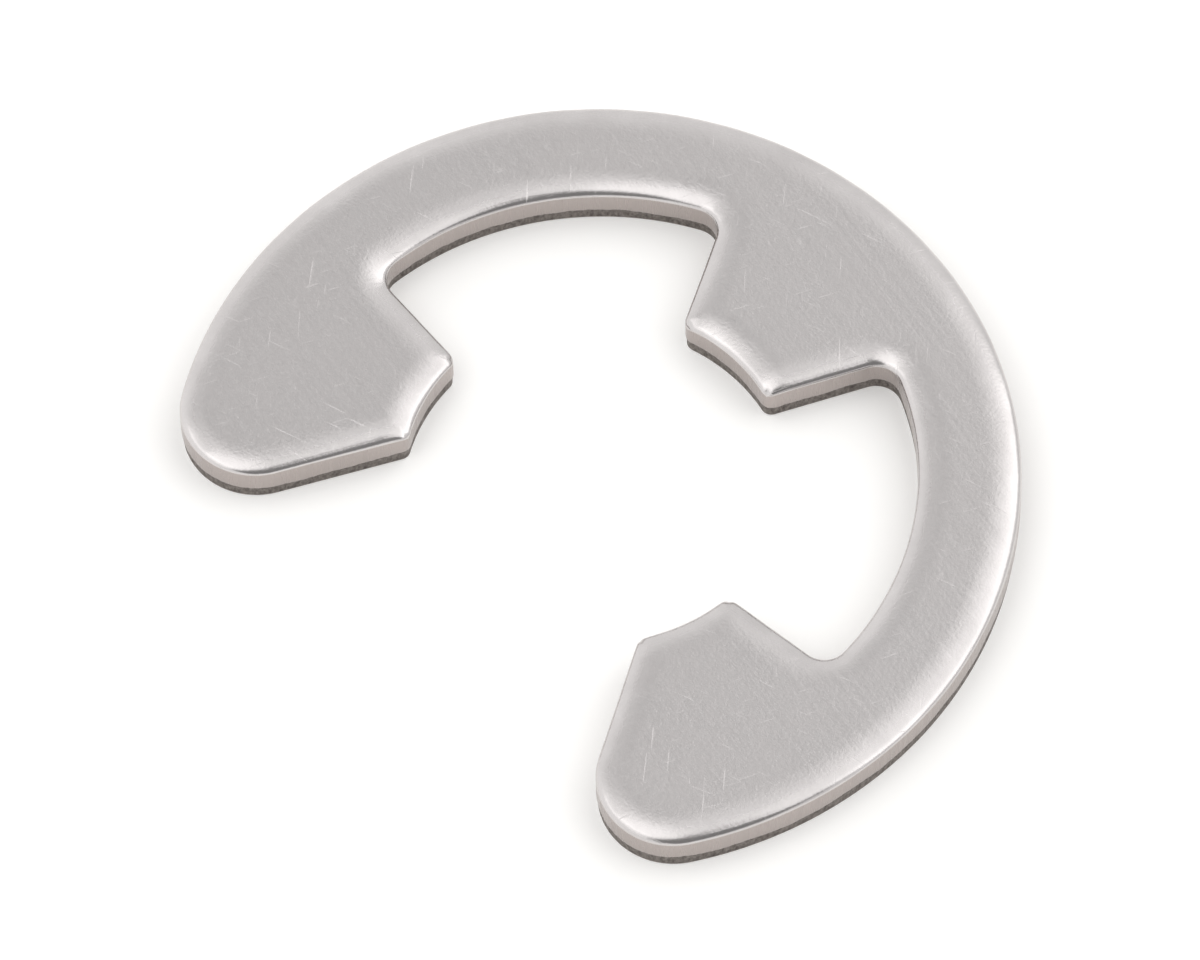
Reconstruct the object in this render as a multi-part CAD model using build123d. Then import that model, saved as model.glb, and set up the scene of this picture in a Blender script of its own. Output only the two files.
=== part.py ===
from build123d import *
import os
from math import radians, sqrt, tan

# E clip (radially fitted retaining washer) for a shaft groove of 5 mm, blanked
# in one blow from hard stainless spring strip.
#
# Frame: millimetres, +Z up. The clip lies flat with its burr face on Z = 0 and
# its rolled face up. The origin is the centre of the lug circle, that is the
# shaft's axis. The centre lug points in from +Y and the mouth opens to -Y.

# Strip and ring
thickness = 0.70              # spring strip
outer_diameter = 11.1         # ring, outside, with the clip unsprung
ring_width = 1.40             # radial width of the spring ring at its sides
back_thinning = 0.075         # how much slimmer the ring is behind the centre lug

# Seat: the circle that the ends of all three lugs lie on
groove_diameter = 5.0         # bottom of the shaft's groove

# Centre lug
centre_tip_width = 1.53       # across its end, on the seat circle
centre_root_width = 3.09      # across its foot, on the inside of the ring

# End lugs
shoulder_drop = 0.07          # shoulder below the clip's diameter, at the seat circle
shoulder_slope = 5.4          # degrees that the shoulder climbs towards the ring
snap_spread = 0.38            # how far each end lug springs aside to pass the groove
mouth_flare = 28.4            # degrees each side, the lead-in for the shaft
heel_radius = 1.0             # round where the lead-in meets the outside

# Corners in plan
pocket_radius = 0.33          # feet of the lugs, in the two side pockets
lug_corner_radius = 0.16      # corners of the lug ends

# Blanked edge, from the rolled face down
die_roll = 0.14               # round where the strip was drawn into the die
fracture_height = 0.24        # rough band above the burr face
fracture_taper = 5.0          # degrees that this band leans in
burr_break = 0.03             # edge that tumbling has taken off the burr face

outer_radius = outer_diameter / 2
inner_radius = outer_radius - ring_width
seat_radius = groove_diameter / 2
half_mouth = seat_radius - snap_spread
land_height = thickness - fracture_height


def spring_hole():
    """Inside of the ring, set towards the centre lug so that the back is slimmer."""
    return Pos(0, back_thinning) * Circle(inner_radius)


def centre_lug():
    """Tapered lug with straight flanks, run on into the ring and into the seat."""
    tip_y = sqrt(seat_radius**2 - (centre_tip_width / 2) ** 2)
    root_y = back_thinning + sqrt(inner_radius**2 - (centre_root_width / 2) ** 2)
    widening = (centre_root_width - centre_tip_width) / 2 / (root_y - tip_y)
    top = root_y + ring_width / 2
    bottom = tip_y - ring_width / 4

    def half_width(y):
        return centre_tip_width / 2 + widening * (y - tip_y)

    return Polygon(
        (-half_width(bottom), bottom),
        (half_width(bottom), bottom),
        (half_width(top), top),
        (-half_width(top), top),
        align=None,
    )


def above_shoulders():
    """Everything above the end lugs' shoulders, which climb towards the ring."""
    climb = tan(radians(shoulder_slope))
    valley = -shoulder_drop - seat_radius * climb
    rim = valley + outer_diameter * climb
    return Polygon(
        (0, valley),
        (outer_diameter, rim),
        (outer_diameter, outer_diameter),
        (-outer_diameter, outer_diameter),
        (-outer_diameter, rim),
        align=None,
    )


def mouth():
    """Lead-in between the end lugs, narrowest where they meet the seat circle."""
    throat_y = -sqrt(seat_radius**2 - half_mouth**2)
    flare = tan(radians(mouth_flare))
    top, bottom = throat_y / 2, -outer_diameter

    def half_width(y):
        return half_mouth + flare * (throat_y - y)

    return Polygon(
        (-half_width(top), top),
        (-half_width(bottom), bottom),
        (half_width(bottom), bottom),
        (half_width(top), top),
        align=None,
    )


def rounded(plan, radius, wanted):
    """Round the corners of a plan that the test picks out."""
    return fillet([v for v in plan.vertices() if wanted(Vector(v))], radius)


def clip_plan():
    """Outline of the clip: ring, three lugs, side pockets and mouth."""
    pockets = (spring_hole() & above_shoulders()) - centre_lug()
    plan = Circle(outer_radius) - pockets - Circle(seat_radius) - mouth()

    hole_centre = Vector(0, back_thinning)
    small = 1e-4
    plan = rounded(plan, heel_radius, lambda p: abs(p.length - outer_radius) < small)
    plan = rounded(plan, lug_corner_radius, lambda p: abs(p.length - seat_radius) < small)
    return rounded(
        plan,
        pocket_radius,
        lambda p: abs((p - hole_centre).length - inner_radius) < small,
    )


def blanked_body(plan):
    """Upright land over a fracture band that leans in towards the burr face."""
    land = extrude(plan, land_height)
    fracture = extrude(plan, -fracture_height)
    flats = fracture.faces().filter_by(Axis.Z)
    walls = [face for face in fracture.faces() if face not in flats]
    fracture = draft(walls, Plane.XY, -fracture_taper)
    return Pos(0, 0, fracture_height) * (land + fracture)


def e_clip():
    """The clip as blanked and tumbled: rolled upper edge, broken burr edge."""
    clip = blanked_body(clip_plan())
    # neither edge can be rounder than the lug corners that it runs round
    roll = min(die_roll, 0.9 * lug_corner_radius)
    clip = fillet(clip.faces().sort_by(Axis.Z)[-1].edges(), roll)
    return chamfer(clip.faces().sort_by(Axis.Z)[0].edges(), burr_break)


os.makedirs("parts", exist_ok=True)
export_step(e_clip(), "parts/e_clip.step")
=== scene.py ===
"""A stainless E clip on a pale table: its blanked body, its finishes and the studio round it."""

import cmath
import math

import bpy
import numpy as np
from bpy.props import FloatProperty, FloatVectorProperty, IntProperty, PointerProperty
from mathutils import Matrix, Vector
from mathutils.geometry import delaunay_2d_cdt


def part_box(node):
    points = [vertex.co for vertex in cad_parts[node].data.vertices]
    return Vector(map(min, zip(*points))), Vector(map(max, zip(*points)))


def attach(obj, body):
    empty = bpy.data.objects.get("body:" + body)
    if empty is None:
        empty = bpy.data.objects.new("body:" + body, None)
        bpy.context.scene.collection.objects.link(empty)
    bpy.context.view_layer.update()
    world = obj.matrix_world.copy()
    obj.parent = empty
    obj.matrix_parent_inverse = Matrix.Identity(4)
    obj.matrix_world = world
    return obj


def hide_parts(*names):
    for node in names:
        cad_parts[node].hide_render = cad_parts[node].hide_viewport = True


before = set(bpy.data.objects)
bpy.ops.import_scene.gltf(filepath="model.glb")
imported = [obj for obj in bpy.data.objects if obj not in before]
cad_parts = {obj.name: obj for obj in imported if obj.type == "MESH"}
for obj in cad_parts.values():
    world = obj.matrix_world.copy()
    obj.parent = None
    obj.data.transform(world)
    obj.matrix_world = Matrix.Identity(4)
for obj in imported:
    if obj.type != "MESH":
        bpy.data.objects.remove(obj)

bl_info = {
    "name": "E clip",
    "version": (1, 0, 0),
    "blender": (4, 5, 0),
    "location": "View3D > Sidebar > E clip",
    "description": "Builds a blanked E clip with its rolled, burnished and fractured edge",
    "category": "Object",
}

MM = 0.001
CLIP = "e_clip"
CLIP_LOW, CLIP_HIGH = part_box(CLIP)
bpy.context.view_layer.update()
OUTER_RADIUS = (CLIP_HIGH.x - CLIP_LOW.x) / 2
THICKNESS = CLIP_HIGH.z - CLIP_LOW.z


# ---------------------------------------------------------------- sizes and colours


def length(name, description, millimetres):
    """A length property, given in millimetres."""
    return FloatProperty(
        name=name, description=description, default=millimetres * MM,
        min=0.0, precision=5, subtype="DISTANCE", unit="LENGTH",
    )


def angle(name, description, degrees):
    """An angle property, given in degrees."""
    return FloatProperty(
        name=name, description=description, default=math.radians(degrees), subtype="ANGLE",
    )


def share(name, description, value):
    """A plain number, such as a roughness or a brightness."""
    return FloatProperty(name=name, description=description, default=value, min=0.0)


def linear(hexadecimal):
    """An sRGB hex colour as linear red, green, blue and alpha."""
    channels = [int(hexadecimal[i:i + 2], 16) / 255 for i in (1, 3, 5)]
    return [c / 12.92 if c <= 0.04045 else ((c + 0.055) / 1.055) ** 2.4 for c in channels] + [1.0]


def colour(name, description, hexadecimal):
    """A colour property, given as an sRGB hex value."""
    return FloatVectorProperty(
        name=name, description=description, default=linear(hexadecimal),
        size=4, min=0.0, max=1.0, subtype="COLOR",
    )


class ClipPlan(bpy.types.PropertyGroup):
    """The clip seen from above. Its outside and its thickness come from the CAD part in model.glb."""

    ring_width: length("Ring width", "Radial width of the spring ring at its sides", 1.40)
    back_thinning: length("Back thinning", "How much slimmer the ring is behind the centre lug", 0.075)
    groove_diameter: length("Groove diameter", "Circle that the lug ends lie on", 5.0)
    centre_tip_width: length("Centre lug end", "Width of the centre lug at its end", 1.53)
    centre_root_width: length("Centre lug foot", "Width of the centre lug at the ring", 3.09)
    shoulder_drop: length("Shoulder drop", "Shoulder below the diameter, at the seat circle", 0.07)
    shoulder_slope: angle("Shoulder slope", "Climb of the shoulder towards the ring", 5.4)
    snap_spread: length("Snap spread", "How far each end lug springs aside for the groove", 0.38)
    mouth_flare: angle("Mouth flare", "Slant of each side of the lead-in", 28.4)
    heel_radius: length("Heel radius", "Round where the lead-in meets the outside", 1.0)
    pocket_radius: length("Pocket radius", "Round at the feet of the lugs", 0.33)
    lug_corner_radius: length("Lug corner radius", "Round at the corners of the lug ends", 0.16)


class BlankedEdge(bpy.types.PropertyGroup):
    """The section of the edge that blanking and tumbling leave."""

    roll_width: length("Roll width", "How far the die roll reaches in over the face", 0.44)
    roll_depth: length("Roll depth", "How far the edge was drawn down", 0.13)
    roll_unevenness: share("Roll unevenness", "Share by which the roll's depth wanders", 0.10)
    fracture_height: length("Fracture height", "Height of the torn band above the burr face", 0.24)
    fracture_taper: angle("Fracture taper", "Lean of the torn band", 5.0)
    fracture_wave: length("Fracture wave", "Wander of the line between land and torn band", 0.035)
    fracture_relief: length("Fracture relief", "Unevenness of the torn band itself", 0.014)
    burr_break: length("Burr break", "Round that tumbling leaves at the burr face", 0.035)
    mesh_step: length("Mesh step", "Spacing of the mesh along the outline", 0.036)
    seed: IntProperty(name="Seed", description="Seed of the uneven roll and torn band", default=3)


class ClipFinish(bpy.types.PropertyGroup):
    """Colours and roughness of the tumbled spring strip and of its cut edge."""

    face_colour: colour("Face", "Tumbled face of the strip", "#cfcbca")
    face_shade: colour("Face, duller", "Duller patches of the tumbled face", "#c5c1c0")
    face_roughness: share("Face roughness", "Satin of the tumbled face", 0.33)
    roll_roughness: share("Roll roughness", "Polish of the rolled edge", 0.20)
    # the land's colour is darker than the face's: partly the burnished steel, partly painted shade
    # standing for the shaded table that the upright wall mirrors
    land_colour_with_painted_shade: colour("Land", "Burnished land of the cut edge", "#b2a9a5")
    land_roughness: share("Land roughness", "Gloss of the burnished land", 0.26)
    fracture_colour: colour("Fracture", "Torn band of the cut edge", "#8b847f")
    # the darker colour goes into the hollows of the torn band's bump: painted shade in the pits, over the
    # band's own uneven tone
    fracture_painted_pit_shade: colour("Fracture, pits", "Pits of the torn band", "#605a56")
    fracture_roughness: share("Fracture roughness", "Dullness of the torn band", 0.50)


class Studio(bpy.types.PropertyGroup):
    """Table, tent, softboxes and camera."""

    table_colour: colour("Table", "Pale table top", "#f2f1ef")
    table_lift: share("Table lift", "White added to the table in view", 0.17)
    tent_colour: colour("Tent", "Light tent round the table", "#f5f5f5")
    tent_roof: share("Tent roof", "Brightness of the tent's roof", 0.36)
    tent_skirt: share("Tent skirt", "Brightness of the tent's lower part", 1.14)
    tent_opening: share("Tent opening", "Brightness of the tent's open front", 0.30)
    tent_lean: share("Tent lean", "Light added on the left and taken from the right", 0.15)
    skirt_top: angle("Skirt top", "Height above which the lower part starts to dim", 39)
    roof_edge: angle("Roof edge", "Height above which the roof's own brightness holds", 75)
    opening_azimuth: angle("Opening azimuth", "Middle of the opening, round from the camera", 10)
    opening_elevation: angle("Opening elevation", "Middle of the opening, above the table", 45)
    opening_core: angle("Opening core", "The opening is open this far from its middle", 26)
    opening_rim: angle("Opening rim", "The opening has closed this far from its middle", 36)
    right_softbox: share("Right softbox", "Brightness of the softbox on the right", 0.98)
    left_softbox: share("Left softbox", "Brightness of the softbox on the left", 0.53)
    top_softbox: share("Top softbox", "Brightness of the softbox overhead", 0.75)
    azimuth: angle("Azimuth", "Camera round from the mouth's side", 46.35)
    elevation: angle("Elevation", "Camera above the table", 60.9)
    roll: angle("Roll", "Turn of the camera about its own axis", 1.46)
    distance: length("Distance", "Camera to clip", 150.0)
    lens: share("Lens", "Focal length in millimetres", 345.0)


# ---------------------------------------------------------------- outline of the clip
# Points in the plan are complex numbers in metres, x + y*1j. The outline runs
# with the metal on its left, so a run's left side is always its inward side.


class Straight:
    """A straight run of the outline, from one sharp corner to the next."""

    def __init__(self, start, end):
        self.start, self.end = start, end
        self.heading = (end - start) / abs(end - start)

    def shifted(self, inset):
        """The same run, moved into the metal by the inset."""
        step = 1j * self.heading * inset
        return Straight(self.start + step, self.end + step)

    def foot(self, point):
        """The place on the run that is nearest to a point."""
        return self.start + self.heading * ((point - self.start) / self.heading).real

    def walk(self, start, end, step):
        """Places from start up to end, each with its inward direction."""
        count = math.ceil(abs(end - start) / step)
        return [(start + (end - start) * k / count, 1j * self.heading) for k in range(count)]


class Round:
    """A round run: it turns left (+1) round metal, or right (-1) round a gap."""

    finest_turn = math.radians(7.5)

    def __init__(self, centre, radius, turn):
        self.centre, self.radius, self.turn = centre, radius, turn

    def shifted(self, inset):
        """The same run, moved into the metal by the inset."""
        return Round(self.centre, self.radius - self.turn * inset, self.turn)

    def foot(self, point):
        """The place on the run that is nearest to a point."""
        away = point - self.centre
        return self.centre + away / abs(away) * self.radius

    def walk(self, start, end, step):
        """Places from start up to end, each with its inward direction."""
        first = cmath.phase(start - self.centre)
        sweep = (cmath.phase(end - self.centre) - first) * self.turn % math.tau
        count = math.ceil(sweep / min(step / self.radius, self.finest_turn))
        spokes = [cmath.rect(1, first + self.turn * sweep * k / count) for k in range(count)]
        return [(self.centre + self.radius * spoke, -self.turn * spoke) for spoke in spokes]


LUG_END, INSIDE, OUTSIDE = KINDS = range(3)


def crossing(one, other, near):
    """Where a straight and a round run meet, at the meeting nearest to a point."""
    straight, curved = (one, other) if isinstance(one, Straight) else (other, one)
    middle = straight.foot(curved.centre)
    half = math.sqrt(curved.radius**2 - abs(middle - curved.centre) ** 2) * straight.heading
    return min(middle - half, middle + half, key=lambda point: abs(point - near))


def half_outline(plan):
    """The runs of the clip's right half with the kind of each, and the corners between them.

    They go from the middle of the centre lug's end round to the ring's back.
    Each corner is (sharp corner, radius, -1 if it is hollow).
    """
    seat_radius = plan.groove_diameter / 2
    inner_radius = OUTER_RADIUS - plan.ring_width
    hole_centre = 1j * plan.back_thinning
    seat = Round(0, seat_radius, -1)
    hole = Round(hole_centre, inner_radius, -1)
    outside = Round(0, OUTER_RADIUS, 1)

    tip_x, root_x = plan.centre_tip_width / 2, plan.centre_root_width / 2
    tip = complex(tip_x, math.sqrt(seat_radius**2 - tip_x**2))
    root = hole_centre + complex(root_x, math.sqrt(inner_radius**2 - root_x**2))

    shoulder_end = complex(seat_radius, -plan.shoulder_drop)
    level = Straight(shoulder_end + cmath.rect(OUTER_RADIUS, plan.shoulder_slope), shoulder_end)
    shoulder = Straight(crossing(level, hole, inner_radius), crossing(level, seat, seat_radius))

    throat_x = seat_radius - plan.snap_spread
    throat = complex(throat_x, -math.sqrt(seat_radius**2 - throat_x**2))
    lead_in = Straight(throat, throat + cmath.rect(OUTER_RADIUS, plan.mouth_flare - math.pi / 2))
    heel = crossing(lead_in, outside, lead_in.end)

    runs = [
        (seat, LUG_END), (Straight(tip, root), INSIDE), (hole, INSIDE), (shoulder, INSIDE),
        (seat, LUG_END), (lead_in, OUTSIDE), (outside, OUTSIDE),
    ]
    corners = [
        (tip, plan.lug_corner_radius, 1),
        (root, plan.pocket_radius, -1),
        (shoulder.start, plan.pocket_radius, -1),
        (shoulder.end, plan.lug_corner_radius, 1),
        (throat, plan.lug_corner_radius, 1),
        (heel, plan.heel_radius, 1),
    ]
    return runs, corners


def clip_outline(plan, step):
    """Places round the whole clip, their inward directions and their kinds, as three arrays."""
    runs, corners = half_outline(plan)
    walk, here = [], 1j * plan.groove_diameter / 2
    for (before, kind), (after, next_kind), (sharp, radius, turn) in zip(runs, runs[1:], corners):
        inset = turn * radius
        centre = crossing(before.shifted(inset), after.shifted(inset), sharp)
        leave, there = before.foot(centre), after.foot(centre)
        bend = Round(centre, radius, turn).walk(leave, there, step)
        half = len(bend) // 2
        walk += [(*place, kind) for place in before.walk(here, leave, step) + bend[:half]]
        walk += [(*place, next_kind) for place in bend[half:]]
        here = there
    outside, kind = runs[-1]
    back = 1j * OUTER_RADIUS
    walk += [(*place, kind) for place in outside.walk(here, back, step)] + [(back, -1j, kind)]
    # the left half is the right half's mirror image, without the two places on the middle line
    mirrored = [
        (-place.conjugate(), -inward.conjugate(), kind) for place, inward, kind in walk[-2:0:-1]
    ]
    return [np.array(column) for column in zip(*(walk + mirrored))]


# ---------------------------------------------------------------- mesh of the blank


def depth_in_metal(points, places, inwards):
    """Distance of each point from the outline, negative outside the metal."""
    spans = np.roll(places, -1) - places
    offsets = points[:, None] - places
    along = np.clip((offsets / spans).real, 0, 1)
    gaps = offsets - along * spans
    nearest = np.argmin(abs(gaps), axis=1)
    gap = gaps[np.arange(len(points)), nearest]
    side = (gap * inwards[nearest].conjugate()).real
    return np.where(side < 0, -1, 1) * abs(gap)


def face_sheet(places, inwards, start, levels, spacing):
    """Points and triangles that fill the outline from an inset of start inwards.

    The first points are the outline's places at that inset, in order. Further
    rows follow the outline at the given levels, and a triangular grid fills the rest.
    """
    rows = [places + start * inwards]
    # by a corner a row comes nearer than its level to the next stretch, and stops short there
    least = 0.985
    for level in levels:
        row = (places + level * inwards)[::2]
        rows.append(row[depth_in_metal(row, places, inwards) > least * level])
    steps = np.arange(-OUTER_RADIUS, OUTER_RADIUS, spacing)
    columns, lines = np.meshgrid(steps, steps * math.sqrt(0.75))
    grid = (columns + spacing / 2 * (np.arange(len(steps)) % 2)[:, None] + 1j * lines).ravel()
    innermost = levels[-1] if levels else start
    rows.append(grid[depth_in_metal(grid, places, inwards) > innermost + spacing / 2])
    points = np.concatenate(rows)
    # the triangulation's tolerance is absolute, so it works in millimetres
    flat = [Vector((p.real / MM, p.imag / MM)) for p in points]
    rim = list(range(len(places)))
    made, _, triangles, origins, _, _ = delaunay_2d_cdt(flat, [], [rim], 1, 1e-6)
    if len(made) != len(points):
        raise RuntimeError("the face's triangulation gained or lost points")
    return points, [[min(origins[corner]) for corner in triangle] for triangle in triangles]


def land_top(edge):
    """Height of the land's highest row, just under the deepest roll at a lug corner."""
    # two rolls add up there by their squares, and the row keeps a fiftieth clear of them
    deepest = math.sqrt(2) * edge.roll_depth * (1 + edge.roll_unevenness)
    clearance = 1.02
    return THICKNESS - clearance * deepest


def section_rows(edge, inset_limit):
    """Inset and height of each row of the edge, from the burr face up and in over the top."""
    lean = math.tan(edge.fracture_taper)
    # places in each part of the section, and degrees from row to row over the roll
    burr_rows, torn_rows, land_rows, roll_turn = 6, 7, 7, 6
    rows = []
    for turn in np.radians(np.linspace(0, 90, burr_rows)):
        inset = lean * (edge.fracture_height - edge.burr_break) + edge.burr_break * (1 - math.sin(turn))
        rows.append((inset, edge.burr_break * (1 - math.cos(turn))))
    for height in np.linspace(edge.burr_break, edge.fracture_height, torn_rows)[1:]:
        rows.append((lean * (edge.fracture_height - height), height))
    for height in np.linspace(edge.fracture_height, land_top(edge), land_rows)[1:]:
        rows.append((0.0, height))
    # over the roll the rows crowd towards the outside, where it is steepest
    for turn in np.radians(np.arange(0, 90, roll_turn)):
        inset = edge.roll_width * (1 - math.cos(turn))
        if inset < inset_limit:
            rows.append((inset, THICKNESS))
    return rows


def blank_mesh(plan, edge, places, inwards):
    """The clip before its edge is rolled: upright walls and flat faces, closed all round."""
    count = len(places)
    # beyond a lug corner's radius an inset row would cross itself
    inset_limit = 0.7 * plan.lug_corner_radius
    rows = section_rows(edge, inset_limit)
    points, faces = [], []
    for inset, height in rows:
        points += [(p.real, p.imag, height) for p in places + inset * inwards]
    for low in range(0, (len(rows) - 1) * count, count):
        high = low + count
        for k in range(count):
            following = (k + 1) % count
            faces.append((low + k, low + following, high + following, high + k))

    # on the top the rows follow the outline to a little past the roll, and a coarser grid fills the rest
    start, end = rows[-1][0], 1.1 * edge.roll_width
    levels = [start + part * (end - start) for part in (0.2, 0.4, 0.6, 0.8, 1.0)]
    spacing = 6 * edge.mesh_step
    for inset, inner_levels, height, first, order in (
        (rows[0][0], [], 0.0, 0, -1),
        (start, levels, THICKNESS, (len(rows) - 1) * count, 1),
    ):
        flat, triangles = face_sheet(places, inwards, inset, inner_levels, spacing)
        added = len(points) - count
        points += [(p.real, p.imag, height) for p in flat[count:]]
        for triangle in triangles:
            faces.append([c + (first if c < count else added) for c in triangle][::order])

    mesh = bpy.data.meshes.new("blank")
    mesh.from_pydata(points, [], faces)
    return mesh


def outline_mesh(places, kinds):
    """The outline as a closed loop of edges that know which kind of run they belong to."""
    count = len(places)
    points = [(p.real, p.imag, 0.0) for p in places]
    edges = [(k, (k + 1) % count) for k in range(count)]
    mesh = bpy.data.meshes.new("outline")
    mesh.from_pydata(points, edges, [])
    mesh.attributes.new("kind", "INT", "EDGE").data.foreach_set("value", kinds)
    return mesh


# ---------------------------------------------------------------- nodes

# nearly all values of a noise lie between these two
NOISE_LOW, NOISE_HIGH = 0.3, 0.7


def add_node(tree, kind, inputs=None, **settings):
    """Add a node with its settings. An input is a value, a socket, or a node for its first output."""
    made = tree.nodes.new(kind)
    for name, value in settings.items():
        setattr(made, name, value)
    for key, value in (inputs or {}).items():
        if isinstance(value, bpy.types.Node):
            value = value.outputs[0]
        if isinstance(value, bpy.types.NodeSocket):
            tree.links.new(value, made.inputs[key])
        else:
            made.inputs[key].default_value = value
    return made


def edge_tree():
    """Geometry Nodes that draw the edge down as the die does, and tear its lower band."""
    tree = bpy.data.node_groups.new("Blanked edge", "GeometryNodeTree")
    tree.interface.new_socket("Geometry", in_out="OUTPUT", socket_type="NodeSocketGeometry")
    for name, kind in (
        ("Geometry", "Geometry"), ("Outline", "Object"), ("Thickness", "Float"),
        ("Roll width", "Float"), ("Roll depth", "Float"), ("Roll unevenness", "Float"),
        ("Burr break", "Float"), ("Fracture height", "Float"), ("Land top", "Float"),
        ("Fracture wave", "Float"), ("Fracture relief", "Float"), ("Seed", "Float"),
        ("Face metal", "Material"), ("Land metal", "Material"), ("Fracture metal", "Material"),
    ):
        tree.interface.new_socket(name, in_out="INPUT", socket_type="NodeSocket" + kind)
    given = add_node(tree, "NodeGroupInput").outputs
    place = add_node(tree, "GeometryNodeInputPosition")
    # the height in the blank decides what a point is, so it is kept before any point moves
    blank = add_node(tree, "GeometryNodeCaptureAttribute", {"Geometry": given["Geometry"]})
    blank.capture_items.new("FLOAT", "Height")
    level = add_node(tree, "ShaderNodeSeparateXYZ", {0: place}).outputs["Z"]
    tree.links.new(level, blank.inputs["Height"])
    height = blank.outputs["Height"]
    flat = add_node(tree, "ShaderNodeVectorMath", {0: place, 1: (1, 1, 0)}, operation="MULTIPLY")
    seed = add_node(tree, "ShaderNodeCombineXYZ", {"Z": given["Seed"]})
    in_mm = add_node(
        tree, "ShaderNodeVectorMath", {0: place, 1: [1 / MM] * 3, 2: seed}, operation="MULTIPLY_ADD",
    )

    shape = tear_band(tree, given, blank.outputs["Geometry"], height, in_mm)
    shape = roll_edge(tree, given, shape, height, flat, in_mm)
    shape = add_node(tree, "GeometryNodeSetShadeSmooth", {"Geometry": shape})
    shape = add_node(tree, "GeometryNodeRealizeInstances", {"Geometry": shape})
    shape = give_finishes(tree, given, shape, height)
    add_node(tree, "NodeGroupOutput", {0: shape})
    return tree


def give_finishes(tree, given, shape, height):
    """Face metal all over, then land and torn band on the upright wall."""
    # a face's height is the mean of its corners' in the blank, so only the top's faces pass this
    # share of the thickness, and the last strip of the wall below the roll belongs to the land
    top_share = 0.99
    roll_start = add_node(
        tree, "ShaderNodeMath", {0: given["Thickness"], 1: top_share}, operation="MULTIPLY",
    )
    below_roll = add_node(
        tree, "FunctionNodeCompare", {"A": height, "B": roll_start}, operation="LESS_THAN",
    )
    off_burr = add_node(
        tree, "FunctionNodeCompare", {"A": height, "B": given["Burr break"]}, operation="GREATER_THAN",
    )
    torn = add_node(
        tree, "FunctionNodeCompare", {"A": height, "B": given["Fracture height"]}, operation="LESS_THAN",
    )
    wall = add_node(tree, "FunctionNodeBooleanMath", {0: below_roll, 1: off_burr}, operation="AND")
    torn_wall = add_node(tree, "FunctionNodeBooleanMath", {0: wall, 1: torn}, operation="AND")
    for where, metal in ((True, "Face metal"), (wall, "Land metal"), (torn_wall, "Fracture metal")):
        shape = add_node(
            tree, "GeometryNodeSetMaterial",
            {"Geometry": shape, "Selection": where, "Material": given[metal]},
        )
    return shape


def tear_band(tree, given, shape, height, in_mm):
    """Let the line between land and torn band wander, and make the torn band uneven."""
    from_burr = add_node(
        tree, "ShaderNodeMapRange",
        {"Value": height, "From Min": given["Burr break"], "From Max": given["Fracture height"]},
    )
    to_land_top = add_node(
        tree, "ShaderNodeMapRange",
        {"Value": height, "From Min": given["Fracture height"], "From Max": given["Land top"],
         "To Min": 1.0, "To Max": 0.0},
    )
    near_line = add_node(tree, "ShaderNodeMath", {0: from_burr, 1: to_land_top}, operation="MINIMUM")
    # a tongue of the tear is 0.6 mm long, about as long as the strip is thick
    flat_mm = add_node(tree, "ShaderNodeVectorMath", {0: in_mm, 1: (1, 1, 0)}, operation="MULTIPLY")
    wander = add_node(
        tree, "ShaderNodeTexNoise", {"Vector": flat_mm, "Scale": 1.6, "Detail": 5.0, "Roughness": 0.68},
    )
    swing = add_node(
        tree, "ShaderNodeMapRange",
        {"Value": wander, "From Min": NOISE_LOW, "From Max": NOISE_HIGH, "To Min": -1.0, "To Max": 1.0},
    )
    swing = add_node(
        tree, "ShaderNodeMath", {0: swing, 1: given["Fracture wave"]}, operation="MULTIPLY",
    )
    lift = add_node(tree, "ShaderNodeMath", {0: swing, 1: near_line}, operation="MULTIPLY")

    # hollows 0.1 mm across stay inside the band, and die out over this share of it at the burr face
    faded = 0.3
    grain = add_node(
        tree, "ShaderNodeTexNoise", {"Vector": in_mm, "Scale": 9.0, "Detail": 3.0, "Roughness": 0.6},
    )
    hollow = add_node(
        tree, "ShaderNodeMapRange",
        {"Value": grain, "From Min": NOISE_LOW, "From Max": NOISE_HIGH, "To Max": -1.0},
    )
    torn = add_node(
        tree, "FunctionNodeCompare", {"A": height, "B": given["Fracture height"]}, operation="LESS_THAN",
    )
    within = add_node(
        tree, "ShaderNodeMapRange", {"Value": from_burr, "From Max": faded},
        interpolation_type="SMOOTHSTEP",
    )
    within = add_node(tree, "ShaderNodeMath", {0: within, 1: torn}, operation="MULTIPLY")
    within = add_node(
        tree, "ShaderNodeMath", {0: within, 1: given["Fracture relief"]}, operation="MULTIPLY",
    )
    hollow = add_node(tree, "ShaderNodeMath", {0: hollow, 1: within}, operation="MULTIPLY")
    outward = add_node(
        tree, "ShaderNodeVectorMath",
        {0: add_node(tree, "GeometryNodeInputNormal"), 1: (1, 1, 0)}, operation="MULTIPLY",
    )
    push = add_node(tree, "ShaderNodeVectorMath", {0: outward, "Scale": hollow}, operation="SCALE")
    raised = add_node(tree, "ShaderNodeCombineXYZ", {"Z": lift})
    offset = add_node(tree, "ShaderNodeVectorMath", {0: push, 1: raised}, operation="ADD")
    return add_node(tree, "GeometryNodeSetPosition", {"Geometry": shape, "Offset": offset})


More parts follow.
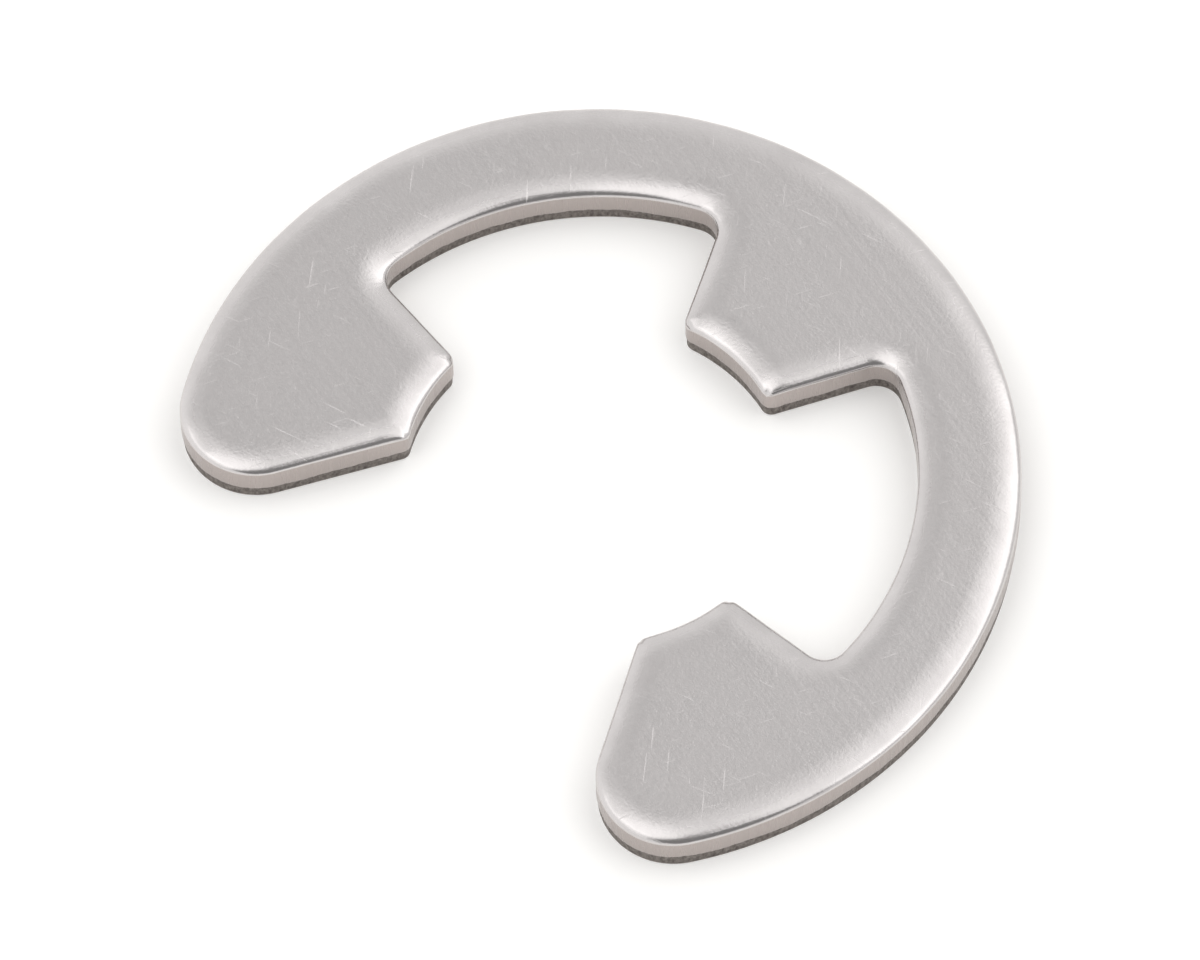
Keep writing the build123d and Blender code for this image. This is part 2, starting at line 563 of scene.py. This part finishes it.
def roll_edge(tree, given, shape, height, flat, in_mm):
    """Draw the top down towards each kind of edge: a quarter ellipse on the distance to it.

    At a lug corner two edges pull at once, so the drops add up there by their squares.
    """
    outline = add_node(tree, "GeometryNodeObjectInfo", {"Object": given["Outline"]}).outputs["Geometry"]
    kind = add_node(tree, "GeometryNodeInputNamedAttribute", {"Name": "kind"}, data_type="INT")
    nearest, squares = 0.0, 0.0
    for number in KINDS:
        gap = add_node(
            tree, "GeometryNodeProximity",
            {"Geometry": outline, "Group ID": kind, "Sample Position": flat, "Sample Group ID": number},
            target_element="EDGES",
        ).outputs["Distance"]
        nearness = add_node(
            tree, "ShaderNodeMapRange",
            {"Value": gap, "From Max": given["Roll width"], "To Min": 1.0, "To Max": 0.0},
        )
        nearest = add_node(tree, "ShaderNodeMath", {0: nearness, 1: nearest}, operation="MAXIMUM")
        square = add_node(tree, "ShaderNodeMath", {0: nearness, 1: nearness}, operation="MULTIPLY")
        rest = add_node(tree, "ShaderNodeMath", {0: 1.0, 1: square}, operation="SUBTRACT")
        rise = add_node(tree, "ShaderNodeMath", {0: rest}, operation="SQRT")
        drop = add_node(tree, "ShaderNodeMath", {0: 1.0, 1: rise}, operation="SUBTRACT")
        squares = add_node(
            tree, "ShaderNodeMath", {0: drop, 1: drop, 2: squares}, operation="MULTIPLY_ADD",
        )
    drop = add_node(tree, "ShaderNodeMath", {0: squares}, operation="SQRT")

    # the roll's depth drifts over 1.4 mm
    drift = add_node(tree, "ShaderNodeTexNoise", {"Vector": in_mm, "Scale": 0.7, "Detail": 2.0})
    drift = add_node(
        tree, "ShaderNodeMapRange",
        {"Value": drift, "From Min": NOISE_LOW, "From Max": NOISE_HIGH, "To Min": -1.0, "To Max": 1.0},
    )
    gain = add_node(
        tree, "ShaderNodeMath", {0: drift, 1: given["Roll unevenness"], 2: 1.0}, operation="MULTIPLY_ADD",
    )
    depth = add_node(tree, "ShaderNodeMath", {0: gain, 1: given["Roll depth"]}, operation="MULTIPLY")
    fall = add_node(tree, "ShaderNodeMath", {0: drop, 1: depth}, operation="MULTIPLY")
    sunk = add_node(tree, "ShaderNodeMath", {0: given["Thickness"], 1: fall}, operation="SUBTRACT")
    up = add_node(tree, "ShaderNodeCombineXYZ", {"Z": sunk})
    settled = add_node(tree, "ShaderNodeVectorMath", {0: flat, 1: up}, operation="ADD")
    shape = add_node(
        tree, "GeometryNodeStoreNamedAttribute",
        {"Geometry": shape, "Name": "roll", "Value": nearest}, data_type="FLOAT", domain="POINT",
    )
    # the land's own top row stays, so the test is halfway from it to the face
    halfway = add_node(
        tree, "ShaderNodeMix", {0: 0.5, 2: given["Land top"], 3: given["Thickness"]}, data_type="FLOAT",
    )
    on_top = add_node(
        tree, "FunctionNodeCompare", {"A": height, "B": halfway}, operation="GREATER_THAN",
    )
    return add_node(
        tree, "GeometryNodeSetPosition", {"Geometry": shape, "Selection": on_top, "Position": settled},
    )


# ---------------------------------------------------------------- finishes


def new_metal(name, base_colour, roughness):
    """A bare metal: its material, its node tree, its shader and its Object coordinates."""
    metal = bpy.data.materials.new(name)
    metal.use_nodes = True
    shader = metal.node_tree.nodes["Principled BSDF"]
    shader.inputs["Base Color"].default_value = base_colour
    shader.inputs["Metallic"].default_value = 1.0
    shader.inputs["Roughness"].default_value = roughness
    place = add_node(metal.node_tree, "ShaderNodeTexCoord").outputs["Object"]
    return metal, metal.node_tree, shader, place


def repeats(x, y, z):
    """Size of one repeat along each axis in metres, from the repeats per millimetre."""
    return MM / x, MM / y, MM / z


def tumbled_spring_strip(finish):
    """Cold-rolled stainless spring strip, tumbled in fine ceramic chips.

    Tumbling leaves an even satin with a grain of a few hundredths of a
    millimetre, short stray scratches and small dents. It polishes the roll.
    """
    metal, tree, shader, place = new_metal(
        "tumbled_spring_strip", finish.face_colour, finish.face_roughness,
    )
    plain = add_node(
        tree, "ShaderNodeMapping", {"Vector": place, "Scale": repeats(1, 1, 1)}, vector_type="TEXTURE",
    )

    # duller patches, most of a millimetre across
    patches = add_node(
        tree, "ShaderNodeTexNoise", {"Vector": plain, "Scale": 1.1, "Detail": 5.0, "Roughness": 0.7},
    )
    patches = add_node(
        tree, "ShaderNodeMapRange", {"Value": patches, "From Min": 0.34, "From Max": 0.66},
    )
    # grain of the chips, drawn at 0.04 mm, about twice as coarse as it is, so that it shows
    grain = add_node(
        tree, "ShaderNodeTexNoise", {"Vector": plain, "Scale": 25.0, "Detail": 2.0, "Roughness": 0.55},
    )
    # rolling lines along the strip, 0.1 mm apart and several millimetres long
    along = add_node(
        tree, "ShaderNodeMapping",
        {"Vector": place, "Rotation": (0, 0, math.radians(78)), "Scale": repeats(10.0, 0.18, 1.0)},
        vector_type="TEXTURE",
    )
    lines = add_node(tree, "ShaderNodeTexNoise", {"Vector": along, "Scale": 1.0, "Detail": 2.0})

    # stray scratches, a few tenths of a millimetre long, drawn 0.02 mm wide so that they show:
    # three sets at different slants, sparse because only the noise's rare peaks count
    scratches = 0.0
    for slant, spread in ((17, 1.0), (64, 1.3), (131, 0.8)):
        across = add_node(
            tree, "ShaderNodeMapping",
            {"Vector": place, "Rotation": (0, 0, math.radians(slant)),
             "Scale": repeats(1.6 * spread, 30.0 * spread, 1.0)},
            vector_type="TEXTURE",
        )
        streaks = add_node(
            tree, "ShaderNodeTexNoise",
            {"Vector": across, "Scale": 1.0, "Detail": 1.0, "Distortion": 0.3},
        )
        thin = add_node(
            tree, "ShaderNodeMapRange", {"Value": streaks, "From Min": 0.73, "From Max": 0.82},
        )
        scratches = add_node(tree, "ShaderNodeMath", {0: thin, 1: scratches}, operation="MAXIMUM")

    # shallow dents, up to a sixth of a millimetre across: the face cuts only a few of the cells'
    # middles, so they lie about 1.4 mm apart
    cells = add_node(
        tree, "ShaderNodeTexVoronoi", {"Vector": plain, "Scale": 1.4, "Randomness": 1.0},
    ).outputs["Distance"]
    dents = add_node(
        tree, "ShaderNodeMapRange",
        {"Value": cells, "From Min": 0.02, "From Max": 0.12, "To Min": 1.0, "To Max": 0.0},
        interpolation_type="SMOOTHSTEP",
    )

    # the polish sets in a third of the way out over the roll and is full near its outer edge
    rolled = add_node(tree, "ShaderNodeAttribute", attribute_name="roll").outputs["Fac"]
    polish = add_node(
        tree, "ShaderNodeMapRange",
        {"Value": rolled, "From Min": 0.35, "From Max": 0.9}, interpolation_type="SMOOTHSTEP",
    )

    rough = add_node(
        tree, "ShaderNodeMapRange",
        {"Value": patches,
         "To Min": finish.face_roughness - 0.03, "To Max": finish.face_roughness + 0.04},
    )
    # the grain swings the roughness both ways, and a scratch only dulls it
    grain_swing, scratch_dulling = 0.10, 0.12
    rough = add_node(
        tree, "ShaderNodeMath", {0: grain, 1: grain_swing, 2: rough}, operation="MULTIPLY_ADD",
    )
    rough = add_node(tree, "ShaderNodeMath", {0: rough, 1: grain_swing / 2}, operation="SUBTRACT")
    rough = add_node(
        tree, "ShaderNodeMath", {0: scratches, 1: scratch_dulling, 2: rough}, operation="MULTIPLY_ADD",
    )
    rough = add_node(
        tree, "ShaderNodeMix", {0: polish, 2: rough, 3: finish.roll_roughness}, data_type="FLOAT",
    )
    tree.links.new(rough.outputs[0], shader.inputs["Roughness"])

    tint = add_node(
        tree, "ShaderNodeMix", {0: patches, 6: finish.face_colour, 7: finish.face_shade},
        data_type="RGBA",
    )
    tree.links.new(tint.outputs[2], shader.inputs["Base Color"])

    # the polished roll keeps only a third of the grain and of the rolling lines
    kept = 0.35
    matt = add_node(tree, "ShaderNodeMapRange", {"Value": polish, "To Min": 1.0, "To Max": kept})
    normal = add_node(tree, "ShaderNodeNewGeometry").outputs["Normal"]
    # depths are in millimetres, and negative where the pattern is sunk
    for height, depth, strength in (
        (grain, 0.0030, matt), (lines, 0.0025, matt), (scratches, -0.0014, 1.0), (dents, -0.0025, 1.0),
    ):
        normal = add_node(
            tree, "ShaderNodeBump",
            {"Height": height, "Distance": abs(depth) * MM, "Strength": strength, "Normal": normal},
            invert=depth < 0,
        )
    tree.links.new(normal.outputs[0], shader.inputs["Normal"])
    return metal


def burnished_land(finish):
    """The upright land, sheared and rubbed bright by the wall of the die: fine upright drag lines."""
    # the land's base colour carries painted shade: it is darkened for the shaded table beside the clip
    # that the wall mirrors
    metal, tree, shader, place = new_metal("burnished_land", finish.land_colour_with_painted_shade, finish.land_roughness)
    # drag lines 0.06 mm apart, the full height of the land
    upright = add_node(
        tree, "ShaderNodeMapping", {"Vector": place, "Scale": repeats(16.0, 16.0, 0.6)},
        vector_type="TEXTURE",
    )
    drag = add_node(
        tree, "ShaderNodeTexNoise", {"Vector": upright, "Scale": 1.0, "Detail": 3.0, "Roughness": 0.6},
    )
    rough = add_node(
        tree, "ShaderNodeMapRange",
        {"Value": drag, "From Min": NOISE_LOW, "From Max": NOISE_HIGH,
         "To Min": finish.land_roughness - 0.06, "To Max": finish.land_roughness + 0.10},
    )
    tree.links.new(rough.outputs[0], shader.inputs["Roughness"])
    bump = add_node(tree, "ShaderNodeBump", {"Height": drag, "Distance": 0.003 * MM})
    tree.links.new(bump.outputs[0], shader.inputs["Normal"])
    return metal


def fractured_band(finish):
    """The lower band, where the strip tore instead of shearing: grainy, pitted and dull."""
    metal, tree, shader, place = new_metal(
        "fractured_band", finish.fracture_colour, finish.fracture_roughness,
    )
    # torn grains of 0.05 mm, drawn out upwards by the tear
    upright = add_node(
        tree, "ShaderNodeMapping", {"Vector": place, "Scale": repeats(20.0, 20.0, 9.0)},
        vector_type="TEXTURE",
    )
    grains = add_node(
        tree, "ShaderNodeTexNoise", {"Vector": upright, "Scale": 1.0, "Detail": 4.0, "Roughness": 0.7},
    )
    spread = add_node(
        tree, "ShaderNodeMapRange", {"Value": grains, "From Min": 0.32, "From Max": 0.62},
    )
    # the bump's low places take the darker colour, as painted shade in the pits
    tint = add_node(
        tree, "ShaderNodeMix", {0: spread, 6: finish.fracture_painted_pit_shade, 7: finish.fracture_colour},
        data_type="RGBA",
    )
    tree.links.new(tint.outputs[2], shader.inputs["Base Color"])
    rough = add_node(
        tree, "ShaderNodeMapRange",
        {"Value": spread,
         "To Min": finish.fracture_roughness + 0.15, "To Max": finish.fracture_roughness},
    )
    tree.links.new(rough.outputs[0], shader.inputs["Roughness"])
    bump = add_node(tree, "ShaderNodeBump", {"Height": grains, "Distance": 0.02 * MM})
    tree.links.new(bump.outputs[0], shader.inputs["Normal"])
    return metal


# ---------------------------------------------------------------- operators


def link_object(name, data):
    """A new object in the scene, at the origin."""
    made = bpy.data.objects.new(name, data)
    bpy.context.scene.collection.objects.link(made)
    return made


class ECLIP_OT_blank_clip(bpy.types.Operator):
    """Blank the clip, roll and tear its edge, and finish it"""

    bl_idname = "eclip.blank_clip"
    bl_label = "Blank the clip"

    def execute(self, context):
        scene = context.scene
        plan, edge, finish = scene.clip_plan, scene.blanked_edge, scene.clip_finish
        places, inwards, kinds = clip_outline(plan, edge.mesh_step)
        blank = link_object("blank", blank_mesh(plan, edge, places, inwards))
        outline = link_object("outline", outline_mesh(places, kinds))
        values = {
            "Outline": outline,
            "Thickness": THICKNESS,
            "Roll width": edge.roll_width,
            "Roll depth": edge.roll_depth,
            "Roll unevenness": edge.roll_unevenness,
            "Burr break": edge.burr_break,
            "Fracture height": edge.fracture_height,
            "Land top": land_top(edge),
            "Fracture wave": edge.fracture_wave,
            "Fracture relief": edge.fracture_relief,
            "Seed": float(edge.seed),
            "Face metal": tumbled_spring_strip(finish),
            "Land metal": burnished_land(finish),
            "Fracture metal": fractured_band(finish),
        }
        modifier = blank.modifiers.new("Blanked edge", "NODES")
        modifier.node_group = edge_tree()
        for socket in modifier.node_group.interface.items_tree:
            if socket.name in values:
                modifier[socket.identifier] = values[socket.name]
        context.view_layer.update()
        graph = context.evaluated_depsgraph_get()
        mesh = bpy.data.meshes.new_from_object(
            blank.evaluated_get(graph), preserve_all_data_layers=True, depsgraph=graph,
        )
        if not mesh.polygons:
            raise RuntimeError("the clip's mesh came out empty")
        for scratch in (blank, outline):
            bpy.data.objects.remove(scratch)
        clip = link_object("e_clip_blanked", mesh)
        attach(clip, "root")
        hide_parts(CLIP)
        return {"FINISHED"}


class ECLIP_OT_set_stage(bpy.types.Operator):
    """Lay the pale table, pitch the light tent, hang the softboxes and place the camera"""

    bl_idname = "eclip.set_stage"
    bl_label = "Set the stage"

    def execute(self, context):
        scene = context.scene
        studio = scene.studio
        scene.view_settings.view_transform = "Standard"
        lay_table(studio)
        scene.world = light_tent(studio)
        # in degrees, and round from the camera, so the softboxes keep their places beside it
        hang_softbox(
            "softbox_right", studio, studio.right_softbox, azimuth=99, elevation=53, width=65, height=53,
        )
        hang_softbox(
            "softbox_left", studio, studio.left_softbox, azimuth=-72, elevation=65, width=57, height=47,
        )
        hang_softbox(
            "softbox_top", studio, studio.top_softbox, azimuth=-56, elevation=75, width=34, height=46,
        )
        scene.camera = place_camera(studio)
        return {"FINISHED"}


def bearing(azimuth, elevation):
    """Unit vector from the clip: azimuth 0 is the mouth's side, turning towards +X."""
    flat = math.cos(elevation)
    return Vector((math.sin(azimuth) * flat, -math.cos(azimuth) * flat, math.sin(elevation)))


def lay_table(studio):
    """A pale table just under the clip. It shows white but for the clip's shadow."""
    half = 0.5
    gap = 0.002 * MM
    level = CLIP_LOW.z - gap
    corners = [(-half, -half, level), (half, -half, level), (half, half, level), (-half, half, level)]
    mesh = bpy.data.meshes.new("table")
    mesh.from_pydata(corners, [], [(0, 1, 2, 3)])
    table = link_object("table", mesh)
    paper = bpy.data.materials.new("table_paper")
    paper.use_nodes = True
    tree = paper.node_tree
    shader = tree.nodes["Principled BSDF"]
    shader.inputs["Base Color"].default_value = studio.table_colour
    shader.inputs["Roughness"].default_value = 0.9
    shader.inputs["Specular IOR Level"].default_value = 0.0
    shader.inputs["Emission Color"].default_value = (1, 1, 1, 1)
    in_view = seen_rays(tree)
    lift = add_node(tree, "ShaderNodeMath", {0: in_view, 1: studio.table_lift}, operation="MULTIPLY")
    tree.links.new(lift.outputs[0], shader.inputs["Emission Strength"])
    mesh.materials.append(paper)


def seen_rays(tree):
    """1 for what the camera sees, directly or in metal or glass, and 0 for the light itself."""
    rays = add_node(tree, "ShaderNodeLightPath").outputs
    seen = add_node(
        tree, "ShaderNodeMath", {0: rays["Is Camera Ray"], 1: rays["Is Glossy Ray"]}, operation="MAXIMUM",
    )
    return add_node(
        tree, "ShaderNodeMath", {0: seen, 1: rays["Is Transmission Ray"]}, operation="MAXIMUM",
    )


def light_tent(studio):
    """A white tent, brighter low down and on the left, and open at the front.

    The opening lies below the camera and a little to its right.
    """
    world = bpy.data.worlds.new("light_tent")
    world.use_nodes = True
    tree = world.node_tree
    back = tree.nodes["Background"]
    back.inputs["Color"].default_value = studio.tent_colour
    direction = add_node(tree, "ShaderNodeTexCoord").outputs["Generated"]
    rise = add_node(tree, "ShaderNodeSeparateXYZ", {0: direction}).outputs["Z"]
    wall = add_node(
        tree, "ShaderNodeMapRange",
        {"Value": rise, "From Min": math.sin(studio.skirt_top), "From Max": math.sin(studio.roof_edge),
         "To Min": studio.tent_skirt, "To Max": studio.tent_roof},
        interpolation_type="SMOOTHSTEP",
    )
    # it leans: brightest level with the table on the camera's left, darkest on its right
    left = bearing(studio.azimuth - math.radians(90), 0.0)
    leftward = add_node(tree, "ShaderNodeVectorMath", {0: direction, 1: left}, operation="DOT_PRODUCT")
    lean = add_node(
        tree, "ShaderNodeMath", {0: leftward.outputs["Value"], 1: studio.tent_lean, 2: 1.0},
        operation="MULTIPLY_ADD",
    )
    wall = add_node(tree, "ShaderNodeMath", {0: wall, 1: lean}, operation="MULTIPLY")
    front = bearing(studio.azimuth + studio.opening_azimuth, studio.opening_elevation)
    facing = add_node(tree, "ShaderNodeVectorMath", {0: direction, 1: front}, operation="DOT_PRODUCT")
    opened = add_node(
        tree, "ShaderNodeMapRange",
        {"Value": facing.outputs["Value"], "From Min": math.cos(studio.opening_rim),
         "From Max": math.cos(studio.opening_core)},
        interpolation_type="SMOOTHSTEP",
    )
    strength = add_node(
        tree, "ShaderNodeMix", {0: opened, 2: wall, 3: studio.tent_opening}, data_type="FLOAT",
    )
    # past the table the camera sees plain white, once this makes up for the tent's own colour
    plain_white = 1.1
    camera_ray = add_node(tree, "ShaderNodeLightPath").outputs["Is Camera Ray"]
    seen = add_node(
        tree, "ShaderNodeMix", {0: camera_ray, 2: strength, 3: plain_white}, data_type="FLOAT",
    )
    tree.links.new(seen.outputs[0], back.inputs["Strength"])
    return world


def hang_softbox(name, studio, brightness, azimuth, elevation, width, height):
    """A softbox that faces the clip. Its bearing and how large it looks are in degrees."""
    distance = 0.6
    lamp = bpy.data.lights.new(name, "AREA")
    lamp.shape = "RECTANGLE"
    lamp.size = 2 * distance * math.tan(math.radians(width / 2))
    lamp.size_y = 2 * distance * math.tan(math.radians(height / 2))
    # an area lamp of this power has a surface of that brightness, where 1 is white
    lamp.energy = brightness * math.pi * lamp.size * lamp.size_y
    softbox = link_object(name, lamp)
    toward = bearing(studio.azimuth + math.radians(azimuth), math.radians(elevation))
    softbox.location = toward * distance
    softbox.rotation_mode = "QUATERNION"
    softbox.rotation_quaternion = toward.to_track_quat("Z", "Y")
    softbox.visible_camera = False


def place_camera(studio):
    """A long lens that looks down on the clip, aimed at the middle of what it sees of it."""
    data = bpy.data.cameras.new("camera")
    data.lens = studio.lens
    data.clip_start, data.clip_end = 0.01, 10.0
    camera = link_object("camera", data)
    toward = bearing(studio.azimuth, studio.elevation)
    turn = toward.to_track_quat("Z", "Y").to_matrix() @ Matrix.Rotation(-studio.roll, 3, "Z")
    seen = np.array([turn.transposed() @ vertex.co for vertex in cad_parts[CLIP].data.vertices])
    middle = turn @ Vector((seen.min(axis=0) + seen.max(axis=0)) / 2)
    camera.rotation_mode = "QUATERNION"
    camera.rotation_quaternion = turn.to_quaternion()
    camera.location = middle + toward * studio.distance
    return camera


class ECLIP_PT_panel(bpy.types.Panel):
    """Lists the clip's sizes, finishes and stage"""

    bl_idname = "ECLIP_PT_panel"
    bl_label = "E clip"
    bl_space_type = "VIEW_3D"
    bl_region_type = "UI"
    bl_category = "E clip"

    def draw(self, context):
        for operator, groups in (
            (ECLIP_OT_blank_clip, ("clip_plan", "blanked_edge", "clip_finish")),
            (ECLIP_OT_set_stage, ("studio",)),
        ):
            box = self.layout.box()
            for group in groups:
                settings = getattr(context.scene, group)
                for name in settings.__annotations__:
                    box.prop(settings, name)
            box.operator(operator.bl_idname)


SETTINGS = {
    "clip_plan": ClipPlan, "blanked_edge": BlankedEdge, "clip_finish": ClipFinish, "studio": Studio,
}
CLASSES = (*SETTINGS.values(), ECLIP_OT_blank_clip, ECLIP_OT_set_stage, ECLIP_PT_panel)


def register():
    """Register the classes and hang the settings on the scene."""
    for kind in CLASSES:
        bpy.utils.register_class(kind)
    for name, kind in SETTINGS.items():
        setattr(bpy.types.Scene, name, PointerProperty(type=kind))


def unregister():
    """Take the settings and the classes away again."""
    for name in SETTINGS:
        delattr(bpy.types.Scene, name)
    for kind in reversed(CLASSES):
        bpy.utils.unregister_class(kind)


def main():
    """Build the clip and its stage."""
    register()
    bpy.ops.eclip.blank_clip()
    bpy.ops.eclip.set_stage()


if __name__ == "__main__":
    main()
